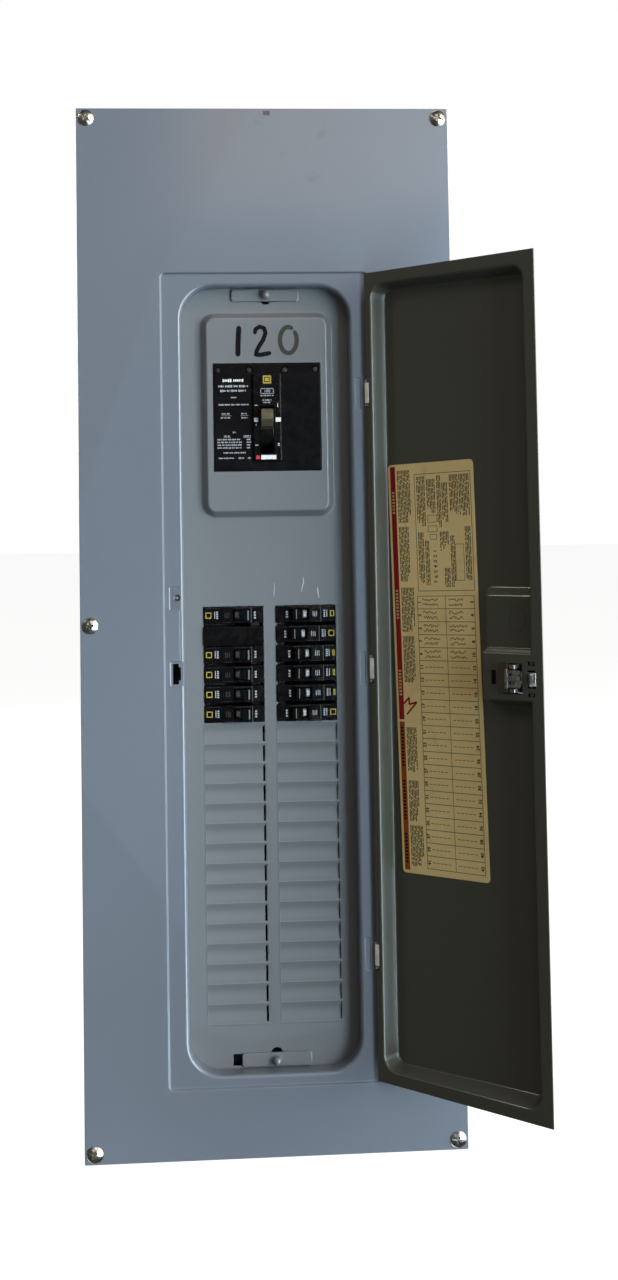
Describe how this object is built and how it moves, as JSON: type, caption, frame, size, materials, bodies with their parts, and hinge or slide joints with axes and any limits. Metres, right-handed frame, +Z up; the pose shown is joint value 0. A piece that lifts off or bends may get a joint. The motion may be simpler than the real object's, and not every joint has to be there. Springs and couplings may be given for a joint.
{
  "type": "electrical load center",
  "caption": "Tall wall-mounted electrical load center: grey steel box and cover, hinged door standing open, main breaker, branch breakers in two columns.",
  "frame": {"origin": "centre of the enclosure's back face, where it meets the wall", "axes": "+X to the right seen from the front, +Y into the wall, +Z up; the door side faces -Y"},
  "size_m": [0.414, 0.2392, 1],
  "materials": {
    "grey_paint": "semi-gloss baked enamel",
    "galvanised": "galvanised sheet",
    "chrome": "bright zinc",
    "steel": "plated steel",
    "olive_steel": "yellow passivated steel",
    "black_case": "moulded thermoset",
    "black_handle": "smooth moulded plastic",
    "red_button": "moulded plastic",
    "nylon": "natural nylon",
    "label_paper": "aged matt label",
    "tinned_bus": "tin plated",
    "aluminium": "extruded, machined screws"
  },
  "bodies": {
    "cabinet": {"enclosure_box": "galvanised", "front_cover": "grey_paint", "dead_front": "grey_paint", "cover_screw_top_left": "chrome", "cover_screw_top_right": "chrome", "cover_screw_middle_left": "chrome", "cover_screw_middle_right": "chrome", "cover_screw_bottom_left": "chrome", "cover_screw_bottom_right": "chrome", "bonding_screw": "chrome", "hinge_bracket_top": "steel", "hinge_bracket_middle": "steel", "hinge_bracket_bottom": "steel", "main_breaker_case": "black_case", "branch_case_left_1": "black_case", "branch_case_left_2": "black_case", "branch_case_left_3": "black_case", "branch_case_left_4": "black_case", "branch_case_left_5": "black_case", "branch_case_right_1": "black_case", "branch_case_right_2": "black_case", "branch_case_right_3": "black_case", "branch_case_right_4": "black_case", "branch_case_right_5": "black_case", "branch_case_right_6": "black_case", "interior_pan": "galvanised", "bus_insulator": "black_case", "bus_bar_a": "tinned_bus", "bus_bar_b": "tinned_bus", "bus_bar_c": "tinned_bus", "neutral_bar_left": "aluminium", "neutral_bar_right": "aluminium", "ground_bar": "aluminium", "main_lugs": "aluminium"},
    "door": {"door_panel": "grey_paint", "directory_label": "label_paper", "hinge_clip_top": "nylon", "hinge_clip_middle": "nylon", "hinge_clip_bottom": "nylon", "latch_housing": "olive_steel", "latch_spring": "chrome"},
    "latch": {"latch_handle": "black_case", "latch_bolt": "chrome"},
    "main_handle": {"main_breaker_handle": "black_handle"},
    "trip_button": {"main_trip_button": "red_button"},
    "upper_slide": {"top_slide": "grey_paint", "top_slide_knob": "chrome"},
    "lower_slide": {"bottom_slide": "grey_paint", "bottom_slide_knob": "chrome"},
    "toggle_left_1": {"branch_handle_left_1": "black_handle"},
    "toggle_left_2": {"branch_handle_left_2": "black_handle"},
    "toggle_left_3": {"branch_handle_left_3": "black_handle"},
    "toggle_left_4": {"branch_handle_left_4": "black_handle"},
    "toggle_left_5": {"branch_handle_left_5": "black_handle"},
    "toggle_right_1": {"branch_handle_right_1": "black_handle"},
    "toggle_right_2": {"branch_handle_right_2": "black_handle"},
    "toggle_right_3": {"branch_handle_right_3": "black_handle"},
    "toggle_right_4": {"branch_handle_right_4": "black_handle"},
    "toggle_right_5": {"branch_handle_right_5": "black_handle"},
    "toggle_right_6": {"branch_handle_right_6": "black_handle"}
  },
  "joints": [
    {"name": "door_hinge", "type": "hinge", "parent": "cabinet", "child": "door", "pos_m": [0.0972, -0.0956, 0], "axis": [0, 0, 1], "range_deg": [-134, 0]},
    {"name": "door_latch", "type": "slide", "parent": "door", "child": "latch", "axis": [-0.6947, 0.7193, 0], "range_m": [0, 0.0022], "stiffness_N_per_m": 300, "springref_m": -0.003},
    {"name": "main_toggle", "type": "hinge", "parent": "cabinet", "child": "main_handle", "pos_m": [0, -0.0615, 0.1872], "axis": [1, 0, 0], "range_deg": [0, 52]},
    {"name": "trip_push", "type": "slide", "parent": "cabinet", "child": "trip_button", "axis": [0, 1, 0], "range_m": [0, 0.0015], "stiffness_N_per_m": 250, "springref_m": -0.001},
    {"name": "upper_retainer", "type": "slide", "parent": "cabinet", "child": "upper_slide", "axis": [1, 0, 0], "range_m": [-0.004, 0.005]},
    {"name": "lower_retainer", "type": "slide", "parent": "cabinet", "child": "lower_slide", "axis": [1, 0, 0], "range_m": [-0.009, 0.004]},
    {"name": "toggle_left_1_turn", "type": "hinge", "parent": "cabinet", "child": "toggle_left_1", "pos_m": [-0.0265, -0.0665, 0.00817], "axis": [0, 0, 1], "range_deg": [-44, 0]},
    {"name": "toggle_left_2_turn", "type": "hinge", "parent": "cabinet", "child": "toggle_left_2", "pos_m": [-0.0265, -0.0665, -0.02993], "axis": [0, 0, 1], "range_deg": [-44, 0]},
    {"name": "toggle_left_3_turn", "type": "hinge", "parent": "cabinet", "child": "toggle_left_3", "pos_m": [-0.0265, -0.0665, -0.04897], "axis": [0, 0, 1], "range_deg": [-44, 0]},
    {"name": "toggle_left_4_turn", "type": "hinge", "parent": "cabinet", "child": "toggle_left_4", "pos_m": [-0.0265, -0.0665, -0.06803], "axis": [0, 0, 1], "range_deg": [-44, 0]},
    {"name": "toggle_left_5_turn", "type": "hinge", "parent": "cabinet", "child": "toggle_left_5", "pos_m": [-0.0265, -0.0665, -0.08707], "axis": [0, 0, 1], "range_deg": [-44, 0]},
    {"name": "toggle_right_1_turn", "type": "hinge", "parent": "cabinet", "child": "toggle_right_1", "pos_m": [0.0298, -0.0665, 0.00817], "axis": [0, 0, 1], "range_deg": [0, 44]},
    {"name": "toggle_right_2_turn", "type": "hinge", "parent": "cabinet", "child": "toggle_right_2", "pos_m": [0.0279, -0.0665, -0.01087], "axis": [0, 0, 1], "range_deg": [0, 44]},
    {"name": "toggle_right_3_turn", "type": "hinge", "parent": "cabinet", "child": "toggle_right_3", "pos_m": [0.0315, -0.0665, -0.02993], "axis": [0, 0, 1], "range_deg": [0, 44]},
    {"name": "toggle_right_4_turn", "type": "hinge", "parent": "cabinet", "child": "toggle_right_4", "pos_m": [0.0315, -0.0665, -0.04897], "axis": [0, 0, 1], "range_deg": [0, 44]},
    {"name": "toggle_right_5_turn", "type": "hinge", "parent": "cabinet", "child": "toggle_right_5", "pos_m": [0.0317, -0.0665, -0.06803], "axis": [0, 0, 1], "range_deg": [0, 44]},
    {"name": "toggle_right_6_turn", "type": "hinge", "parent": "cabinet", "child": "toggle_right_6", "pos_m": [0.0283, -0.0665, -0.08707], "axis": [0, 0, 1], "range_deg": [0, 44]}
  ]
}
